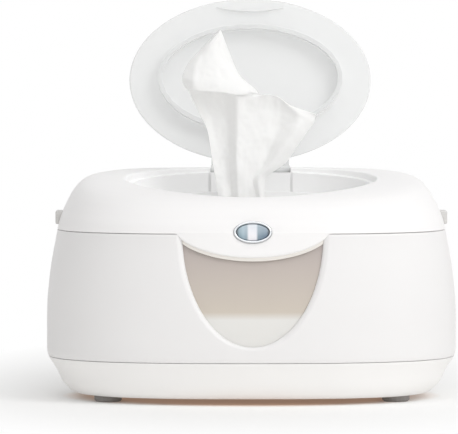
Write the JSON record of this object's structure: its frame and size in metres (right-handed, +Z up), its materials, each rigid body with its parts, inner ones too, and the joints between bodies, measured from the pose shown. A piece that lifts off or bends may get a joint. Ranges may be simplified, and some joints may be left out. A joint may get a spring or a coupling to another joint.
{
  "type": "baby wipe warmer",
  "caption": "Tapered oval warmer for baby wipes with a hinged cover, an open frosted flip lid, a raised wipe, a chrome light button and a front window.",
  "frame": {"origin": "middle of the overall footprint, on the plane of the feet", "axes": "+X along the long side, to the right as seen from the front; the front with the window faces -Y; +Z up"},
  "size_m": [0.27, 0.1906, 0.2631],
  "materials": {
    "white_abs": "satin moulded, white",
    "white_base_abs": "satin moulded, white",
    "cream_pp": "satin moulded, cream",
    "window_polycarbonate": "polished, beige tint",
    "frosted_lid_pp": "frosted, translucent white",
    "grey_rubber": "moulded, grey",
    "soft_white_tpe": "moulded, off-white",
    "zinc_steel": "zinc plated",
    "chromed_abs": "polished chrome plating",
    "clear_button_acrylic": "polished, clear",
    "heater_aluminium": "rolled, plain",
    "heater_polyimide": "film, amber",
    "board_laminate": "laminate, green",
    "black_nylon": "moulded, black",
    "led_epoxy": "cast, warm white",
    "lead_pvc": "extruded, black",
    "wipe_nonwoven": "moist non-woven, white"
  },
  "bodies": {
    "housing": {"base_pan": "white_base_abs", "foot_front_left": "grey_rubber", "foot_rear_left": "grey_rubber", "foot_front_right": "grey_rubber", "foot_rear_right": "grey_rubber", "base_screw_front_left": "zinc_steel", "base_screw_rear_left": "zinc_steel", "base_screw_front_right": "zinc_steel", "base_screw_rear_right": "zinc_steel", "body_shell": "white_abs", "window_lens": "window_polycarbonate", "window_seal": "grey_rubber", "inner_tub": "cream_pp", "wipe_stack": "wipe_nonwoven", "cover_hinge_pin_left": "zinc_steel", "cover_hinge_pin_right": "zinc_steel"},
    "cover": {"top_cover": "white_abs", "cover_underpan": "cream_pp", "cover_gasket": "soft_white_tpe", "dispenser_seal": "soft_white_tpe", "heater_film": "heater_polyimide", "heater_plate": "heater_aluminium", "thermostat": "black_nylon", "control_board": "board_laminate", "tact_switch": "black_nylon", "led_left": "led_epoxy", "led_right": "led_epoxy", "button_bezel": "chromed_abs", "power_inlet": "black_nylon", "inlet_lead": "lead_pvc", "heater_lead": "lead_pvc", "lid_hinge_pin": "zinc_steel", "cover_screw_front_left": "zinc_steel", "cover_screw_rear_left": "zinc_steel", "cover_screw_front_right": "zinc_steel", "cover_screw_rear_right": "zinc_steel", "wipe_sheet": "wipe_nonwoven"},
    "lid": {"flip_lid": "frosted_lid_pp", "lid_gasket": "soft_white_tpe"},
    "button": {"light_button": "clear_button_acrylic"},
    "left_tab": {"release_tab_left": "white_abs"},
    "right_tab": {"release_tab_right": "white_abs"}
  },
  "joints": [
    {"name": "cover_hinge", "type": "hinge", "parent": "housing", "child": "cover", "pos_m": [0, 0.09125, 0.1111], "axis": [-1, 0, 0], "range_deg": [0, 75]},
    {"name": "lid_hinge", "type": "hinge", "parent": "cover", "child": "lid", "pos_m": [0, 0.04875, 0.14759], "axis": [1, 0, 0], "range_deg": [0, 108.2], "deforming": ["wipe_sheet"]},
    {"name": "light_button_press", "type": "slide", "parent": "cover", "child": "button", "axis": [0, 0.9848, -0.1736], "range_m": [0, 0.0012], "stiffness_N_per_m": 300, "springref_m": -0.0005},
    {"name": "left_tab_press", "type": "slide", "parent": "cover", "child": "left_tab", "axis": [1, 0, 0], "range_m": [0, 0.0018], "stiffness_N_per_m": 400, "springref_m": -0.0005},
    {"name": "right_tab_press", "type": "slide", "parent": "cover", "child": "right_tab", "axis": [-1, 0, 0], "range_m": [0, 0.0018], "stiffness_N_per_m": 400, "springref_m": -0.0005}
  ]
}
